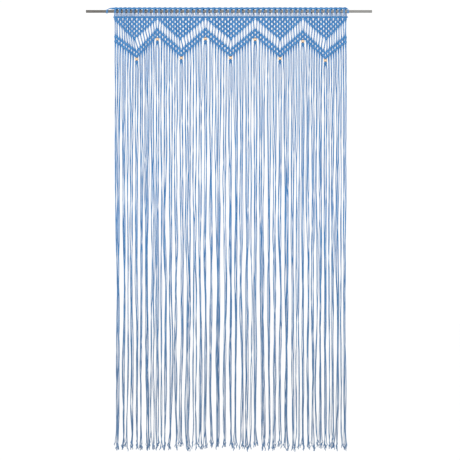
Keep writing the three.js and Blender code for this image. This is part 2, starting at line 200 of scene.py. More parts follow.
cotton, tree, shader = new_material("dyed_cotton_cord")
lay = node(tree, "ShaderNodeUVMap", {"uv_map": "lay"})
parts = node(tree, "ShaderNodeSeparateXYZ", {}, {"Vector": lay.outputs["UV"]})
turn = node(tree, "ShaderNodeMath", {"operation": "MULTIPLY", 1: PLIES}, {0: parts.outputs["X"]})
phase = node(tree, "ShaderNodeMath", {"operation": "ADD"}, {0: turn.outputs[0], 1: parts.outputs["Y"]})
across = node(tree, "ShaderNodeMath", {"operation": "PINGPONG", 1: 0.5}, {0: phase.outputs[0]})
crown = node(
    tree,
    "ShaderNodeMapRange",
    {"interpolation_type": "SMOOTHSTEP", "From Max": 0.3, "To Max": 1.0},
    {"Value": across.outputs[0]},
)
# Each ply is combed fibre, so fine streaks run along it; they are drawn about three times as coarse as real.
FIBRES_ACROSS_PLY = 9.0
FIBRE_STREAK_LENGTHS = 1.6
place = node(tree, "ShaderNodeTexCoord")
over_ply = node(tree, "ShaderNodeMath", {"operation": "MULTIPLY", 1: FIBRES_ACROSS_PLY * 2}, {0: across.outputs[0]})
along_ply = node(tree, "ShaderNodeMath", {"operation": "MULTIPLY", 1: FIBRE_STREAK_LENGTHS}, {0: parts.outputs["Y"]})
combed = node(tree, "ShaderNodeCombineXYZ", {}, {"X": over_ply.outputs[0], "Y": along_ply.outputs[0]})
fibres = node(tree, "ShaderNodeTexNoise", {"Scale": 1.0, "Detail": 2.0}, {"Vector": combed.outputs["Vector"]})
FIBRES_IN_TONE = 0.35
FIBRES_IN_RELIEF = 0.5
# Loose fibres fuzz the surface and are drawn far coarser than single ones. The dye took in long soft patches.
FUZZ_MM = 0.5
FUZZ_IN_RELIEF = 0.25
DYE_PATCH_MM = 5
DYE_PATCH_LENGTH_MM = 160
fuzz = node(
    tree, "ShaderNodeTexNoise", {"Scale": 1 / (FUZZ_MM * MM), "Detail": 1.0}, {"Vector": place.outputs["Object"]}
)
dye_scale = node(
    tree,
    "ShaderNodeMapping",
    {"Scale": (1 / (DYE_PATCH_MM * MM), 1 / (DYE_PATCH_MM * MM), 1 / (DYE_PATCH_LENGTH_MM * MM))},
    {"Vector": place.outputs["Object"]},
)
dye = node(tree, "ShaderNodeTexNoise", {"Scale": 1.0, "Detail": 1.0}, {"Vector": dye_scale.outputs["Vector"]})
mottle = node(
    tree,
    "ShaderNodeMath",
    {"operation": "MULTIPLY_ADD", 1: FIBRES_IN_TONE},
    {0: fibres.outputs["Fac"], 2: dye.outputs["Fac"]},
)
blue = node(tree, "ShaderNodeValToRGB", {}, {"Fac": mottle.outputs[0]})
blue.color_ramp.elements[0].position = 0.5
blue.color_ramp.elements[0].color = linear("#4089c7")
blue.color_ramp.elements[1].position = 0.85
blue.color_ramp.elements[1].color = linear("#66a8df")
# Painted shade: where two plies meet, the blue is mixed towards this darker groove colour.
painted_groove_shade = node(
    tree,
    "ShaderNodeMix",
    {"data_type": "RGBA", 6: linear("#2c5c92")},
    {0: crown.outputs["Result"], 7: blue.outputs["Color"]},
)
# The lower half of the strands is greyer and darker.
GREYER_FROM, GREYER_TO = -1.1, -2.1
height = node(tree, "ShaderNodeSeparateXYZ", {}, {"Vector": place.outputs["Object"]})
greyer = node(
    tree,
    "ShaderNodeMapRange",
    {"From Min": GREYER_FROM, "From Max": GREYER_TO, "To Min": 0.0, "To Max": 1.0},
    {"Value": height.outputs["Z"]},
)
shade = node(
    tree,
    "ShaderNodeHueSaturation",
    {"Saturation": 0.84, "Value": 0.7},
    {"Fac": greyer.outputs["Result"], "Color": painted_groove_shade.outputs[2]},
)
plies = node(
    tree,
    "ShaderNodeMath",
    {"operation": "MULTIPLY_ADD", 1: FIBRES_IN_RELIEF},
    {0: fibres.outputs["Fac"], 2: crown.outputs["Result"]},
)
relief = node(
    tree,
    "ShaderNodeMath",
    {"operation": "MULTIPLY_ADD", 1: FUZZ_IN_RELIEF},
    {0: fuzz.outputs["Fac"], 2: plies.outputs[0]},
)
cord_bump = node(tree, "ShaderNodeBump", {"Strength": 0.7, "Distance": 0.0005}, {"Height": relief.outputs[0]})
tree.links.new(shade.outputs["Color"], shader.inputs["Base Color"])
tree.links.new(cord_bump.outputs["Normal"], shader.inputs["Normal"])
shader.inputs["Roughness"].default_value = 0.9
shader.inputs["Specular IOR Level"].default_value = 0.25
shader.inputs["Sheen Weight"].default_value = 0.25
shader.inputs["Sheen Roughness"].default_value = 0.5


def smooth_run(stops, step):
    """A Catmull-Rom curve through the stops, in steps of about the given length."""
    stops = np.asarray(stops, dtype=float)
    ends = np.vstack([2 * stops[0] - stops[1], stops, 2 * stops[-1] - stops[-2]])
    out = []
    for i in range(len(stops) - 1):
        p0, p1, p2, p3 = ends[i : i + 4]
        count = max(1, int(round(np.linalg.norm(p2 - p1) / step)))
        t = np.arange(count)[:, None] / count
        out.append(
            0.5
            * (
                2 * p1
                + (p2 - p0) * t
                + (2 * p0 - 5 * p1 + 4 * p2 - p3) * t**2
                + (3 * p1 - p0 - 3 * p2 + p3) * t**3
            )
        )
    out.append(stops[-1:])
    return np.concatenate(out)


def cord_skin(line, radius, sides, lay_start, ply_relief):
    """Points, faces and map of a cord along a line; the relief is how far its plies swell, as a share of the radius."""
    step = np.diff(line, axis=0)
    along = np.concatenate([[0], np.cumsum(np.linalg.norm(step, axis=1))])
    tangent = np.gradient(line, axis=0)
    tangent /= np.linalg.norm(tangent, axis=1)[:, None]
    side = np.cross(tangent[0], [0.0, 1.0, 0.001])
    frames = []
    for t in tangent:
        side = side - np.dot(side, t) * t
        side = side / np.linalg.norm(side)
        frames.append(side)
    across = np.array(frames)
    third = np.cross(tangent, across)
    angles = np.linspace(0, 2 * math.pi, sides, endpoint=False)
    radii = np.broadcast_to(radius, (len(line),))[:, None]
    v = lay_start + along / (LAY_LENGTH * np.mean(radius) / CORD_RADIUS)
    plies = np.cos(2 * math.pi * (PLIES * angles[None, :] / (2 * math.pi) + v[:, None] - 0.5))
    radii = (radii * (1 + ply_relief * plies))[:, :, None]
    ring = across[:, None, :] * np.cos(angles)[None, :, None] + third[:, None, :] * np.sin(angles)[None, :, None]
    points = (line[:, None, :] + radii * ring).reshape(-1, 3)
    rows = np.arange(len(line) - 1)[:, None] * sides
    columns = np.arange(sides)[None, :]
    following = (columns + 1) % sides
    faces = np.stack([rows + columns, rows + following, rows + sides + following, rows + sides + columns], axis=2)
    turn = np.broadcast_to(columns / sides, (len(line) - 1, sides))
    low = np.broadcast_to(v[:-1, None], turn.shape)
    high = np.broadcast_to(v[1:, None], turn.shape)
    share = 1 / sides
    uvs = np.stack(
        [
            np.stack([turn, low], axis=2),
            np.stack([turn + share, low], axis=2),
            np.stack([turn + share, high], axis=2),
            np.stack([turn, high], axis=2),
        ],
        axis=2,
    )
    return points, faces.reshape(-1, 4), uvs.reshape(-1, 2)


def cords_piece(name, runs, nodes, sides=9, ply_relief=0.09):
    """One piece of many cords; each run is a line with its radius and the turn of its lay where it starts."""
    points, faces, uvs, caps, start = [], [], [], [], 0
    for line, radius, lay_start in runs:
        p, f, u = cord_skin(line, radius, sides, lay_start, ply_relief)
        caps.append(np.arange(sides)[::-1] + start)
        caps.append(np.arange(sides) + start + len(p) - sides)
        points.append(p)
        faces.append(f + start)
        uvs.append(u)
        start += len(p)
    cap_uvs = np.zeros((len(caps) * sides, 2))
    all_faces = list(np.concatenate(faces)) + caps
    piece = mesh_piece(name, np.concatenate(points), all_faces, [cotton], uvs=np.concatenate(uvs + [cap_uvs]))
    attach(piece, "root")
    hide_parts(*nodes)
    return piece


# The knotting as a whole: 180 strands, which row by row are tied four by four in square knots.
# Five triangles hang side by side under the bar, and a zigzag of two lines of knots runs below them.
REPEATS = 5
COLUMNS = 9
ROW_PITCH = 12.65
FIRST_ROW_Z = -43.2
STRANDS_IN_REPEAT = 4 * COLUMNS
STRANDS = STRANDS_IN_REPEAT * REPEATS
# A peak is (x, drop of the band's holes). A valley is (x of the triangle's tip, x of the band's valley, its drop).
PEAKS = [(-623, 140), (-387, 114), (-127, 112), (142, 115), (399, 125), (639, 143)]
VALLEYS = [(-512, -499, 231), (-263, -258, 225), (11, 8, 224), (276, 276, 228), (526, 521, 238)]


def from_middle(column):
    """The repeat in which a column lies, and how many columns it is from that repeat's middle."""
    repeat = min(REPEATS - 1, max(0, int(column // (2 * COLUMNS))))
    return repeat, column - 2 * COLUMNS * repeat - COLUMNS


def across_repeat(column, middle_of):
    """The x of a column counted from the curtain's left side: 18 a repeat, with the middles given by the table."""
    repeat, inner = from_middle(column)
    side = PEAKS[repeat][0] if inner < 0 else PEAKS[repeat + 1][0]
    middle = VALLEYS[repeat][middle_of]
    return middle + (side - middle) * abs(inner) / COLUMNS


def net_x(column):
    return across_repeat(column, 0)


def band_x(column):
    return across_repeat(column, 1)


def band_z(column):
    """The height of the band's row of holes at a column."""
    repeat, inner = from_middle(column)
    side = PEAKS[repeat][1] if inner < 0 else PEAKS[repeat + 1][1]
    valley = VALLEYS[repeat][2]
    return -valley + (valley - side) * abs(inner) / COLUMNS


# Half a knot's width, as a share of the space between two columns. A knot on a sloping edge is drawn a little wider,
# so that the edge reads as one line, and the last one of a triangle narrower.
KNOT_WIDTH_SHARE = 0.57
EDGE_KNOT_WIDTH_SHARE = 0.62
TIP_KNOT_WIDTH_SHARE = 0.48
WIDTH_REACH = 0.9
BEAD_CLEARANCE = 1.6
NET_UNEVEN = 0.7
BAND_UNEVEN = 0.6
ROW_UNEVEN = 0.5
rng = np.random.default_rng(7)


def uneven(amount):
    return rng.uniform(-amount, amount)


def knot_width(x_of, column, share):
    return share * (x_of(column + WIDTH_REACH) - x_of(column - WIDTH_REACH)) / (2 * WIDTH_REACH)


# Every square knot as (column, x, z, half-width, zone), in the order in which its strands reach it.
knots = []
for row in range(1, COLUMNS + 1):
    for repeat in range(REPEATS):
        for inner in range(row - COLUMNS, COLUMNS - row + 1, 2):
            column = 2 * COLUMNS * repeat + COLUMNS + inner
            z = FIRST_ROW_Z - ROW_PITCH * (row - 1)
            share = EDGE_KNOT_WIDTH_SHARE if abs(inner) == COLUMNS - row else KNOT_WIDTH_SHARE
            share = TIP_KNOT_WIDTH_SHARE if row == COLUMNS else share
            width = knot_width(net_x, column, share)
            knots.append((column, net_x(column) + uneven(NET_UNEVEN), z + uneven(ROW_UNEVEN), width, "net"))
for column in range(1, 2 * COLUMNS * REPEATS):
    for line in (1, -1):
        lift = BEAD_CLEARANCE if line < 0 and column % COLUMNS == 0 else 0
        z = band_z(column) + line * ROW_PITCH + lift
        width = knot_width(band_x, column, EDGE_KNOT_WIDTH_SHARE)
        knots.append((column, band_x(column) + uneven(BAND_UNEVEN), z + uneven(ROW_UNEVEN), width, "band"))
knots.sort(key=lambda knot: (knot[4] == "band", -knot[2]))

# A square knot: two straight middle strands, and two that cross in front of and behind them, twice.
# Stops are (x, y, z) shares of its half-width, depth and half-height, from the top down.
KNOT_HALF_HEIGHT = 4.9
KNOT_DEPTH = 4.3
# In a knot the cord is drawn thicker than it is, so that the knot closes up.
KNOTTED_RADIUS = 3.1
FRONT_WORKER = [
    (-0.80, 0.0, 1.00),
    (-0.85, -0.55, 0.78),
    (-0.30, -1.05, 0.62),
    (0.35, -1.05, 0.46),
    (0.92, -0.30, 0.36),
    (1.05, 0.35, 0.0),
    (0.92, -0.30, -0.36),
    (0.35, -1.05, -0.46),
    (-0.30, -1.05, -0.62),
    (-0.85, -0.55, -0.78),
    (-0.80, 0.0, -1.00),
]
BACK_WORKER = [
    (0.80, 0.0, 1.00),
    (0.85, 0.55, 0.78),
    (0.30, 1.05, 0.62),
    (-0.35, 1.05, 0.46),
    (-0.98, 0.15, 0.36),
    (-1.10, -0.50, 0.0),
    (-0.98, 0.15, -0.36),
    (-0.35, 1.05, -0.46),
    (0.30, 1.05, -0.62),
    (0.85, 0.55, -0.78),
    (0.80, 0.0, -1.00),
]
FILLERS = ([(-0.30, 0.0, 0.9), (-0.30, 0.0, -0.9)], [(0.30, 0.0, 0.9), (0.30, 0.0, -0.9)])
ROLES = [FRONT_WORKER, FILLERS[0], FILLERS[1], BACK_WORKER]


def through_knot(role, x, z, half_width):
    size = np.array([half_width, KNOT_DEPTH, KNOT_HALF_HEIGHT])
    return [np.array([x, 0.0, z]) + np.array(stop) * size for stop in ROLES[role]]


# Heading: a cotton cord of about 10 mm lies along the top, and each strand is a fold of cord laid over it, one half
# in front of the rod and one behind. Below the rod every strand is hitched twice round a straight carrier cord, which
# makes the bar.
HEADING_Z = 15.9
HEADING_RADIUS = 4.8
FOLD_SUNK = 0.4
POCKET_Y = 10.2
FOLD_UNEVEN = 0.8
HITCH_TOP_UNEVEN = 0.6
SLACK_UNEVEN = 0.12
# The four strands of two folds: how far each lies beside the column, and whether before (-1) or behind (1) the rod.
FOLD_OFFSETS = [(-7.2, -1), (-1.6, -1), (2.6, 1), (7.4, 1)]
# A strand is drawn thicker where it lies snug over the heading cord than where it is slack round the rod.
SNUG_RADIUS = 2.6
SLACK_RADIUS = 2.15
SNUG_FROM_Z, SNUG_OVER = -4, 16


def pocket_stops(strand):
    """From the middle of the fold over the heading cord down to the hitches, on the strand's own side of the rod."""
    group, place = divmod(strand, 4)
    column = 2 * group + 1
    x = net_x(column) + FOLD_OFFSETS[place][0] + uneven(FOLD_UNEVEN)
    face = FOLD_OFFSETS[place][1]
    partner = net_x(column) + FOLD_OFFSETS[(place + 2) % 4][0]
    over = HEADING_RADIUS + 0.3 * CORD_RADIUS
    slack = 1 + uneven(SLACK_UNEVEN)
    hitch_x = net_x((strand + 0.5) / 2)
    return [
        ((x + partner) / 2, 0.0, HEADING_Z + HEADING_RADIUS - FOLD_SUNK),
        (x, face * over * 0.8, HEADING_Z + over * 0.45),
        (x, face * (over + 1.5), HEADING_Z - 5.5),
        (x, face * POCKET_Y * slack, 2.0),
        (x + (hitch_x - x) * 0.6 + uneven(FOLD_UNEVEN), face * (POCKET_Y - 2.5), -13.0),
        (hitch_x + uneven(HITCH_TOP_UNEVEN), face * 3.6, -23.5),
    ]


BAR_Z = -31.4
HITCH_RADIUS = 3.3
HITCH_PITCH = 3.5
HITCH_START = 1.1
HITCH_QUARTERS = 8
HITCH_CORD_RADIUS = 2.6
CARRIER_RADIUS = 1.4


def hitch_stops(strand):
    """Two turns round the carrier cord, each beside the last, and out below it."""
    x = net_x((strand + 0.5) / 2)
    stops = []
    for quarter in range(1, HITCH_QUARTERS + 1):
        stops.append(
            (
                x + HITCH_PITCH * (quarter / 4 - HITCH_START),
                -HITCH_RADIUS * math.cos(math.radians(90 * quarter - 90)),
                BAR_Z + HITCH_RADIUS * math.cos(math.radians(90 * quarter)),
            )
        )
    return stops


# Each strand goes on through all the knots that it helps to tie. Between net and zigzag it is drawn out thin.
POCKET_STEP = 4.0
HITCH_STEP = 2.6
KNOT_STEP = 1.9
LOOSE_STEP = 6.0
HANGING_RADIUS = 1.55
THINNING_POWER = 0.25
GAP_SHARES = (0.3, 0.7)
GAP_LEAN = 1.5
GAP_UNEVEN = 0.9
heading_runs, hitch_runs = [], []
net_runs = {repeat: [] for repeat in range(REPEATS)}
band_runs = {repeat: [] for repeat in range(REPEATS)}
band_exits = {}
by_strand = {strand: [] for strand in range(STRANDS)}
for column, x, z, half_width, zone in knots:
    for role in range(4):
        strand = 2 * column - 2 + role
        if 0 <= strand < STRANDS:
            by_strand[strand].append((role, x, z, half_width, zone))

for strand in range(STRANDS):
    pocket = smooth_run(pocket_stops(strand) + hitch_stops(strand)[:1], POCKET_STEP)
    snug = np.clip((pocket[:, 2] - SNUG_FROM_Z) / SNUG_OVER, 0, 1)
    heading_runs.append((pocket, SLACK_RADIUS + (SNUG_RADIUS - SLACK_RADIUS) * snug, rng.uniform(0, 1)))
    hitch = smooth_run(hitch_stops(strand), HITCH_STEP)
    hitch_runs.append((hitch, HITCH_CORD_RADIUS, rng.uniform(0, 1)))
    net_stops = [hitch[-1]]
    band_stops = []
    for role, x, z, half_width, zone in by_strand[strand]:
        (net_stops if zone == "net" else band_stops).extend(through_knot(role, x, z, half_width))
    lean = np.array([0.0, uneven(GAP_LEAN), 0.0])
    gap_top, gap_foot = net_stops[-1], band_stops[0]
    gap = [gap_top + (gap_foot - gap_top) * share + lean + [uneven(GAP_UNEVEN), 0, 0] for share in GAP_SHARES]
    tied = smooth_run(net_stops, KNOT_STEP)
    hanging = smooth_run([gap_top] + gap + [gap_foot], LOOSE_STEP)
    thinning = np.sin(np.linspace(0, math.pi, len(hanging))) ** THINNING_POWER * (HANGING_RADIUS - KNOTTED_RADIUS)
    girth = KNOTTED_RADIUS + np.concatenate([np.zeros(len(tied)), thinning[1:]])
    repeat = strand // STRANDS_IN_REPEAT
    net_runs[repeat].append((np.concatenate([tied, hanging[1:]]), girth, rng.uniform(0, 1)))
    band_runs[repeat].append((smooth_run(band_stops, KNOT_STEP), KNOTTED_RADIUS, rng.uniform(0, 1)))
    band_exits[strand] = band_stops[-1]

# Both ends of the heading cord run down to the rod and are wound round it.
LOOP_RADIUS = 2.1
LOOP_REACH = 9.7
LOOP_STOPS = 11
LOOP_FIRST_DEGREES = 20
LOOP_STEP_DEGREES = 46
LOOP_ADVANCE = 0.62
LOOP_BACK = 5
LOOP_TAPER = 14.0
LOOPS_OUT = (-22, 10)
HEADING_PAST = (-16, -4)
HEADING_STOPS = 80
HEADING_WAVE = 0.3
HEADING_WAVE_MM = 90
HEADING_STEP = 4.0
CARRIER_PAST = (-2, 6)
CARRIER_STEP = 20
left, right = PEAKS[0][0], PEAKS[-1][0]


def end_loop(end, out):
    """From the end of the heading cord down to the rod and round it."""
    away = math.copysign(1, out)
    stops = [(end + 0.4 * out, -3.0, HEADING_Z - 1.5), (end + 0.75 * out, -8.4, 8.0)]
    for stop in range(1, LOOP_STOPS + 1):
        angle = math.radians(LOOP_FIRST_DEGREES - LOOP_STEP_DEGREES * stop)
        x = end + out + away * (LOOP_ADVANCE * stop - LOOP_BACK)
        stops.append((x, -LOOP_REACH * math.cos(angle), LOOP_REACH * math.sin(angle)))
    return stops


top_left, top_right = left + HEADING_PAST[0], right + HEADING_PAST[1]
middle = [
    (x, 0, HEADING_Z + HEADING_WAVE * math.sin(x / HEADING_WAVE_MM))
    for x in np.linspace(top_left, top_right, HEADING_STOPS)
]
loop_left, loop_right = end_loop(top_left, LOOPS_OUT[0])[::-1], end_loop(top_right, LOOPS_OUT[1])
heading_line = smooth_run(loop_left + middle + loop_right, HEADING_STEP)
inside = np.minimum(heading_line[:, 0] - top_left, top_right - heading_line[:, 0]) + LOOP_TAPER / 2
full = np.clip(inside / LOOP_TAPER, 0, 1)
heading_runs.append((heading_line, LOOP_RADIUS + (HEADING_RADIUS - LOOP_RADIUS) * full, 0.0))
carrier = [(left + CARRIER_PAST[0], 0, BAR_Z), (0, 0, BAR_Z), (right + CARRIER_PAST[1], 0, BAR_Z)]
heading_runs.append((smooth_run(carrier, CARRIER_STEP), CARRIER_RADIUS, 0.0))
cords_piece("heading_cords", heading_runs + hitch_runs, ["heading"])

# Nets: five triangles of open netting in cotton cord, tied by hand in rows of square knots below the bar.
# Each row is one knot shorter than the last, and the strands that leave its ends hang on to the zigzag.
for repeat in range(REPEATS):
    cords_piece(f"net_{repeat + 1}_cords", net_runs[repeat], [f"net_{repeat + 1}"])

# Zigzag: two sloping lines of square knots in the same cord, with a row of holes between them.
# It is tied right across the curtain and gathers all the strands again.
for repeat in range(REPEATS):
    cords_piece(f"zigzag_{repeat + 1}_cords", band_runs[repeat], ["zigzag_band"])

# Beads: turned from light wood on a lathe and bored through, slightly flat at the bore. They are unvarnished but
# buffed with a little clear wax. The grain runs along the bore, and the wax gives each bead a small soft highlight.
BEAD_RADIUS = 10.0
BEAD_HALF_HEIGHT = 8.2
BORE_RADIUS = 4.4
BORE_EDGE = 0.7
BORE_EDGE_DROP = 0.25
BORE_DEPTH_SHOWN = 1.2
BEAD_FLANK_DEGREES = 56
BEAD_STEP_DEGREES = 8
BEAD_POLE_DEGREES = 64
BEAD_SIDES = 40
VALLEY_BEAD_DROP = 26.9
PEAK_BEAD_DROP = 36
bead_places = []
for repeat, (_, x, drop) in enumerate(VALLEYS):
    bead_places.append((x, -drop - VALLEY_BEAD_DROP, 2 * COLUMNS * repeat + COLUMNS))
    if repeat + 1 < REPEATS:
        peak_x, peak_drop = PEAKS[repeat + 1]
        bead_places.append((peak_x, -peak_drop - PEAK_BEAD_DROP, 2 * COLUMNS * (repeat + 1)))

bead_wood, tree, shader = new_material("turned_light_wood")
RING_MM = 1.6
GRAIN_MM = 14
place = node(tree, "ShaderNodeTexCoord")
grain_scale = node(
    tree,
    "ShaderNodeMapping",
    {"Scale": (1 / (RING_MM * MM), 1 / (RING_MM * MM), 1 / (GRAIN_MM * MM))},
    {"Vector": place.outputs["Object"]},
)
grain = node(
    tree,
    "ShaderNodeTexNoise",
    {"Scale": 1.0, "Detail": 3.0, "Distortion": 0.25},
    {"Vector": grain_scale.outputs["Vector"]},
)
wood_tone = node(tree, "ShaderNodeValToRGB", {}, {"Fac": grain.outputs["Fac"]})
wood_tone.color_ramp.elements[0].position = 0.35
wood_tone.color_ramp.elements[0].color = linear("#f3dab8")
wood_tone.color_ramp.elements[1].position = 0.65
wood_tone.color_ramp.elements[1].color = linear("#fff6e8")
# Painted shade: the wood is mixed towards brown where its face turns up or down, so a bead turns browner towards its
# bore.
facing = node(tree, "ShaderNodeSeparateXYZ", {}, {"Vector": node(tree, "ShaderNodeNewGeometry").outputs["Normal"]})
up_or_down = node(tree, "ShaderNodeMath", {"operation": "ABSOLUTE"}, {0: facing.outputs["Z"]})
painted_shade_mask = node(
    tree,
    "ShaderNodeMapRange",
    {"interpolation_type": "SMOOTHSTEP", "From Min": 0.15, "From Max": 0.85, "To Min": 0.0, "To Max": 0.9},
    {"Value": up_or_down.outputs[0]},
)
wood_with_painted_shade = node(
    tree,
    "ShaderNodeMixRGB",
    {"Color2": linear("#b07a48")},
    {"Fac": painted_shade_mask.outputs["Result"], "Color1": wood_tone.outputs["Color"]},
)
wood_bump = node(tree, "ShaderNodeBump", {"Strength": 0.2, "Distance": 0.0002}, {"Height": grain.outputs["Fac"]})
tree.links.new(wood_with_painted_shade.outputs["Color"], shader.inputs["Base Color"])
tree.links.new(wood_bump.outputs["Normal"], shader.inputs["Normal"])
shader.inputs["Roughness"].default_value = 0.4
shader.inputs["IOR"].default_value = 1.5
shader.inputs["Coat Weight"].default_value = 0.7
shader.inputs["Coat Roughness"].default_value = 0.15
shader.inputs["Coat Tint"].default_value = linear("#f4e2c9")

bead_profile = [
    (BORE_RADIUS, -BEAD_HALF_HEIGHT + BORE_DEPTH_SHOWN),
    (BORE_RADIUS + BORE_EDGE, -BEAD_HALF_HEIGHT + BORE_EDGE_DROP),
]
for degrees in range(-BEAD_FLANK_DEGREES, BEAD_FLANK_DEGREES + 1, BEAD_STEP_DEGREES):
    angle = math.radians(degrees)
    bead_z = BEAD_HALF_HEIGHT * math.sin(angle) / math.sin(math.radians(BEAD_POLE_DEGREES))
    bead_profile.append((BEAD_RADIUS * math.cos(angle), bead_z))
bead_profile += [
    (BORE_RADIUS + BORE_EDGE, BEAD_HALF_HEIGHT - BORE_EDGE_DROP),
    (BORE_RADIUS, BEAD_HALF_HEIGHT - BORE_DEPTH_SHOWN),
]
bead_points, bead_faces = turned(bead_profile, BEAD_SIDES)
for number, (x, z, _) in enumerate(bead_places, 1):
    bead = mesh_piece(f"bead_{number}_wood", bead_points + np.array([x, 0, z]), bead_faces, [bead_wood])
    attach(bead, "root")
    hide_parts(f"bead_{number}")

# Fringe: the strands of the same cotton cord hang free from the zigzag two by two. Lower down the pairs drift
# together in small groups. Each strand ends in an overhand knot, below which its three plies come apart in a short
# tail. The four strands of a bead pass its bore and are tied in a square knot below it.
END_Z = -2360
END_UNEVEN = 16
STRAND_RADIUS = 1.93
# Below its last knot a strand thins, settles in line, comes free of its even place and joins its bunch over these
# lengths. Near its end it may flare outwards. The pairs of a bunch hang in layers, one behind the other.
THIN_OVER = 24.0
SETTLE_OVER = 90.0
BEAD_THIN_OVER = 9.0
BEAD_SETTLE_OVER = 24.0
FREE_OVER = 220.0
GATHER_OVER = 1300.0
FLARE_LENGTH = 90.0
LAYER_DEPTH = 6.0
# The drift of the strands is drawn as waves: their lengths as (shortest, longest), and how far they swing sideways.
BUNCH_WAVES = (900, 3000)
BUNCH_SWING = (3, 7)
PAIR_WAVES = (350, 1300)
PAIR_SWING = (2, 5)
PAIR_SWING_AT_TOP = 0.4
DEPTH_WAVES = (500, 1500)
DEPTH_SWING = 1.2
JITTER_WAVES = (70, 300)
JITTER_X = 0.9
JITTER_Y = 0.5
# A bunch is one to three pairs, which keep only this share of their spacing on the way down.
BUNCH_SIZES = [1, 2, 2, 3, 3]
BUNCH_KEEPS = (0.3, 0.65)
# The two strands of a pair wind round each other, and part and close again by shares of their radius.
START_TURN = 0.9
TURNS = 1.2
TURN_LENGTH = 2200
TURN_WAVES = (260, 1100)
TURN_SWING = 1.4
OPEN_WAVES = (250, 1200)
OPEN_LEAST = 1.15
OPEN_MORE = 1.2
OPEN_LOST = 0.4
OPEN_MEAN = 0.3
FLARE_X = 13
FLARE_Y = 6
FLARE_POWER = 1.5
THICKNESS_RANGE = (0.86, 1.1)
# The stops of a strand: close together below its last knot and above its end knot, and evenly spaced between.
TOP_STOPS = [14, 34]
FIRST_EVEN_STOP = 70
STOP_SPACING = -34.0
LAST_EVEN_STOP = 110
LAST_STOPS = [84, 56, 30]
HANGING_STEP = 26.0
END_KNOT_SIZE = (1.25, 1.15, 0.44)
END_KNOT_REACH = 2.05
END_KNOT_STOPS = 15
END_KNOT_BELOW = 16
END_KNOT_STEP = 2.6
PLY_RADIUS = 1.0
PLY_STEP = 3.0
PLY_ROOT = 0.9
PLY_ROOT_UP = 1.5
# How far the plies of a tail have parted after these shares of its length.
PLY_APART = ((0.5, 1.2), (1.0, 2.1))
PLY_TURN = 6
TAIL = 8.0
TAIL_RANGE = (0.6, 1.4)
TAIL_LEAN_X = 3
TAIL_LEAN_Y = 2
BEAD_OFFSETS = [(-1.9, -1.1), (-0.5, 1.5), (0.8, -1.7), (2.0, 0.9)]
KNOT_DROP = 7.4
BEAD_KNOT_HALF_WIDTH = 6.6
BEAD_KNOT_RADIUS = 2.6
# The pair beside a peak's or a valley's middle hangs this far from it.
NEXT_TO_MIDDLE = 7.0
# Just under the zigzag each strand of a pair hangs this far to one side of the pair's middle.
EVEN_HALF_SPACING = 3.4


def waves(count, low, high):
    """A steady random drift between -1 and 1: some sine waves whose lengths in mm lie between low and high."""
    lengths = rng.uniform(low, high, count)
    phases = rng.uniform(0, 2 * math.pi, count)
    weights = rng.uniform(0.5, 1, count)
    weights /= weights.sum()
    return lambda z: float(np.sum(weights * np.sin(2 * math.pi * z / lengths + phases)))


def overhand(x, y, z, turned_by):
    """The path of an overhand knot, which comes in from above and leaves below."""
    stops = []
    for t in np.linspace(END_KNOT_REACH, -END_KNOT_REACH, END_KNOT_STOPS):
        a = END_KNOT_SIZE[0] * (t**3 - 3 * t)
        b = END_KNOT_SIZE[1] * (t**4 - 4 * t**2 + 2)
        stops.append(
            (
                x + a * math.cos(turned_by) - b * math.sin(turned_by),
                y + a * math.sin(turned_by) + b * math.cos(turned_by),
                z + END_KNOT_SIZE[2] * (t**5 - 10 * t),
            )
        )
    return stops


PAIRS = STRANDS // 2
bead_of_pair = {}
for number, (_, _, column) in enumerate(bead_places):
    bead_of_pair[column - 1] = bead_of_pair[column] = number


def hanging_x(pair):
    """Where a pair comes to hang: the pairs spread evenly between the middle of a valley and the peak beside it."""
    repeat, place = divmod(pair, 2 * COLUMNS)
    side = -1 if place < COLUMNS else 1
    count = COLUMNS - 1 - place if side < 0 else place - COLUMNS
    valley, peak = VALLEYS[repeat][1], PEAKS[repeat + (side > 0)][0]
    spacing = (abs(peak - valley) - 2 * NEXT_TO_MIDDLE) / (COLUMNS - 1)
    return valley + side * (NEXT_TO_MIDDLE + spacing * count)


# Bunches of one to three neighbouring pairs, which close up on the way down and leave a clear gap beside them.
bunches = []
pair = 0
while pair < PAIRS:
    size = int(rng.choice(BUNCH_SIZES))
    if pair in bead_of_pair:
        size = 2
    else:
        while size > 1 and any(p in bead_of_pair or p >= PAIRS for p in range(pair, pair + size)):
            size -= 1
    bunches.append(list(range(pair, pair + size)))
    pair += size

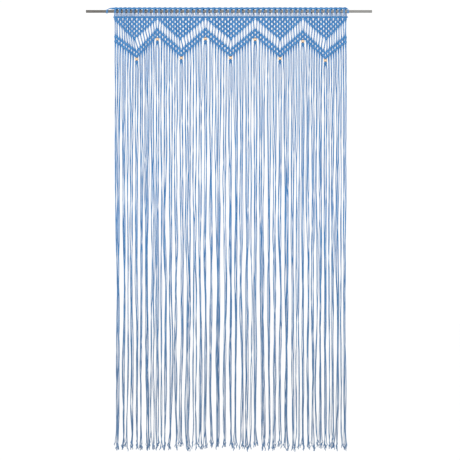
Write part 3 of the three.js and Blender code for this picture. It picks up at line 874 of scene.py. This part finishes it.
fringe_runs = {repeat: [] for repeat in range(REPEATS)}
bead_knot_runs = []
for bunch in bunches:
    bunch_x = np.mean([hanging_x(p) for p in bunch])
    bunch_drift, bunch_swing, keep = waves(3, *BUNCH_WAVES), rng.uniform(*BUNCH_SWING), rng.uniform(*BUNCH_KEEPS)
    layers = LAYER_DEPTH * (rng.permutation(len(bunch)) - (len(bunch) - 1) / 2)
    for p, layer in zip(bunch, layers):
        own_drift, own_turn, own_open = waves(3, *PAIR_WAVES), waves(3, *TURN_WAVES), waves(3, *OPEN_WAVES)
        own_swing, start_turn, turns = rng.uniform(*PAIR_SWING), uneven(START_TURN), uneven(TURNS)
        depth_drift = waves(2, *DEPTH_WAVES)
        has_bead = p in bead_of_pair
        settle_over, thin_over = (BEAD_SETTLE_OVER, BEAD_THIN_OVER) if has_bead else (SETTLE_OVER, THIN_OVER)
        for half_of_pair in (0, 1):
            s = 2 * p + half_of_pair
            side = 1 if half_of_pair else -1
            jitter_x, jitter_y = waves(3, *JITTER_WAVES), waves(3, *JITTER_WAVES)
            flare_x, flare_y = uneven(FLARE_X), uneven(FLARE_Y)
            thickness = STRAND_RADIUS * rng.uniform(*THICKNESS_RANGE)
            stops, knot_radius = [band_exits[s]], KNOTTED_RADIUS
            if has_bead:
                bead_x, bead_z, _ = bead_places[bead_of_pair[p]]
                role = 2 * bunch.index(p) + half_of_pair
                dx, dy = BEAD_OFFSETS[role]
                for dz in (BEAD_HALF_HEIGHT, 0, -BEAD_HALF_HEIGHT + 1):
                    stops.append((bead_x + dx, dy, bead_z + dz))
                stops += through_knot(role, bead_x, bead_z - BEAD_HALF_HEIGHT - KNOT_DROP, BEAD_KNOT_HALF_WIDTH)
                bead_knot_runs.append((smooth_run(stops, KNOT_STEP), BEAD_KNOT_RADIUS, rng.uniform(0, 1)))
                stops, knot_radius = [stops[-1]], BEAD_KNOT_RADIUS
            end = END_Z + uneven(END_UNEVEN)
            from_x, from_y, top = stops[0]
            levels = [top - drop for drop in TOP_STOPS]
            levels += list(np.arange(top - FIRST_EVEN_STOP, end + LAST_EVEN_STOP, STOP_SPACING))
            levels += [end + rise for rise in LAST_STOPS]
            for z in levels:
                below = top - z
                settle, free, gather = (min(1.0, below / over) for over in (settle_over, FREE_OVER, GATHER_OVER))
                turn = start_turn + (turns * 2 * math.pi * below / TURN_LENGTH + TURN_SWING * own_turn(z)) * free
                centre = bunch_x + (hanging_x(p) - bunch_x) * (1 + (keep - 1) * gather)
                centre += bunch_swing * gather * bunch_drift(z)
                centre += own_swing * settle * (PAIR_SWING_AT_TOP + (1 - PAIR_SWING_AT_TOP) * gather) * own_drift(z)
                near = OPEN_LEAST + (OPEN_MORE - OPEN_LOST * gather) * max(0.0, OPEN_MEAN + own_open(z))
                near += (EVEN_HALF_SPACING / STRAND_RADIUS - near) * (1 - free)
                apart = side * STRAND_RADIUS * near
                x = centre + apart * math.cos(turn) + JITTER_X * jitter_x(z)
                y = layer + DEPTH_SWING * depth_drift(z) + apart * math.sin(turn) + JITTER_Y * jitter_y(z)
                flare = max(0.0, 1 - (z - end) / FLARE_LENGTH) ** FLARE_POWER
                x, y = x + flare_x * flare, y + flare_y * flare
                stops.append((from_x + (x - from_x) * settle, from_y + (y - from_y) * settle, z))
            hanging = smooth_run(stops, HANGING_STEP)
            girth = thickness + (knot_radius - thickness) * np.clip(1 - (top - hanging[:, 2]) / thin_over, 0, 1)
            down = np.array(stops[-1]) - np.array(stops[-2])
            knot_at = np.array(stops[-1]) + down / np.linalg.norm(down) * END_KNOT_BELOW
            knot_stops = overhand(*knot_at, rng.uniform(0, 2 * math.pi))
            knotted = smooth_run([stops[-2], stops[-1]] + knot_stops, END_KNOT_STEP)
            first = int(np.argmin(np.abs(knotted[:, 2] - stops[-1][2])))
            knotted = knotted[first + 1 :]
            home = min(REPEATS - 1, max(0, (s - 2) // STRANDS_IN_REPEAT))
            lay_start = rng.uniform(0, 1)
            whole = np.concatenate([hanging, knotted])
            girth = np.concatenate([girth, np.full(len(knotted), thickness)])
            fringe_runs[home].append((whole, girth, lay_start))
            foot, tail = whole[-1], TAIL * rng.uniform(*TAIL_RANGE)
            lean_x, lean_y = uneven(TAIL_LEAN_X), uneven(TAIL_LEAN_Y)
            for ply in range(PLIES):
                angle = 2 * math.pi * ply / PLIES + lay_start * PLY_TURN
                out = np.array([math.cos(angle), math.sin(angle), 0])
                ply_stops = [foot + out * PLY_ROOT + [0, 0, PLY_ROOT_UP]]
                for share, apart in PLY_APART:
                    ply_stops.append(foot + out * apart + [lean_x * share, lean_y * share, -tail * share])
                fringe_runs[home].append((smooth_run(ply_stops, PLY_STEP), PLY_RADIUS, lay_start))

cords_piece("bead_knots_cords", bead_knot_runs, [f"fringe_{repeat + 1}" for repeat in range(REPEATS)])
for repeat in range(REPEATS):
    cords_piece(f"fringe_{repeat + 1}_strands", fringe_runs[repeat], [f"fringe_{repeat + 1}"], sides=6, ply_relief=0)

# Stage: a pale floor some way below the ends, in a white tent with dimmer sides and a brighter top.
# The dimmer sides give cords, beads and rod a darker edge, and the top lights the floor and the knots from above.
FLOOR_Z = -2.9
FLOOR_RADIUS = 30.0
FLOOR_SIDES = 96
TENT_FRONT = 1.04
TENT_SIDE = 0.55
TENT_TOP = 0.26
# The tooth of the paper is drawn far coarser than real, so that it shows at all from this distance.
PAPER_TOOTH_MM = 25
ring = np.linspace(0, 2 * math.pi, FLOOR_SIDES, endpoint=False)
floor_points = np.stack([np.cos(ring), np.sin(ring), np.zeros(FLOOR_SIDES)], axis=1) * FLOOR_RADIUS / MM
floor_points[:, 2] = FLOOR_Z / MM
paper, tree, shader = new_material("white_paper_floor")
place = node(tree, "ShaderNodeTexCoord")
tooth = node(
    tree,
    "ShaderNodeTexNoise",
    {"Scale": 1 / (PAPER_TOOTH_MM * MM), "Detail": 2.0},
    {"Vector": place.outputs["Object"]},
)
paper_tone = node(tree, "ShaderNodeValToRGB", {}, {"Fac": tooth.outputs["Fac"]})
paper_tone.color_ramp.elements[0].color = linear("#fafafa")
paper_tone.color_ramp.elements[1].color = linear("#fdfdfd")
tree.links.new(paper_tone.outputs["Color"], shader.inputs["Base Color"])
shader.inputs["Roughness"].default_value = 1.0
floor = mesh_piece("paper_floor", floor_points, [list(range(FLOOR_SIDES))], [paper], smooth=False)

world = bpy.data.worlds.new("studio")
world.use_nodes = True
tree = world.node_tree
toward = node(tree, "ShaderNodeTexCoord")
axes = node(tree, "ShaderNodeSeparateXYZ", {}, {"Vector": toward.outputs["Generated"]})
sideways = node(tree, "ShaderNodeMath", {"operation": "ABSOLUTE"}, {0: axes.outputs["X"]})
walls = node(
    tree,
    "ShaderNodeMapRange",
    {"interpolation_type": "SMOOTHSTEP", "From Min": 0.25, "From Max": 0.95, "To Min": TENT_FRONT, "To Max": TENT_SIDE},
    {"Value": sideways.outputs[0]},
)
top = node(
    tree,
    "ShaderNodeMapRange",
    {"interpolation_type": "SMOOTHSTEP", "From Min": 0.3, "From Max": 0.9, "To Min": 0.0, "To Max": TENT_TOP},
    {"Value": axes.outputs["Z"]},
)
tent = node(tree, "ShaderNodeMath", {"operation": "ADD"}, {0: walls.outputs["Result"], 1: top.outputs["Result"]})
tree.links.new(tent.outputs[0], tree.nodes["Background"].inputs["Strength"])
tree.nodes["Background"].inputs["Color"].default_value = (1.0, 1.0, 1.0, 1.0)
bpy.context.scene.world = world


def soft_light(name, place, aim, size, power):
    data = bpy.data.lights.new(name, "AREA")
    data.shape = "RECTANGLE"
    data.size, data.size_y = size
    data.energy = power
    light = bpy.data.objects.new(name, data)
    light.location = place
    direction = np.array(aim) - np.array(place)
    light.rotation_euler = (
        math.atan2(math.hypot(direction[0], direction[1]), -direction[2]),
        0,
        math.atan2(direction[1], direction[0]) - math.pi / 2,
    )
    bpy.context.collection.objects.link(light)


soft_light("key", place=(-1.8, -6.5, 0.8), aim=(0, 0, -1.0), size=(1.6, 1.6), power=90)
bpy.context.scene.view_settings.view_transform = "Standard"
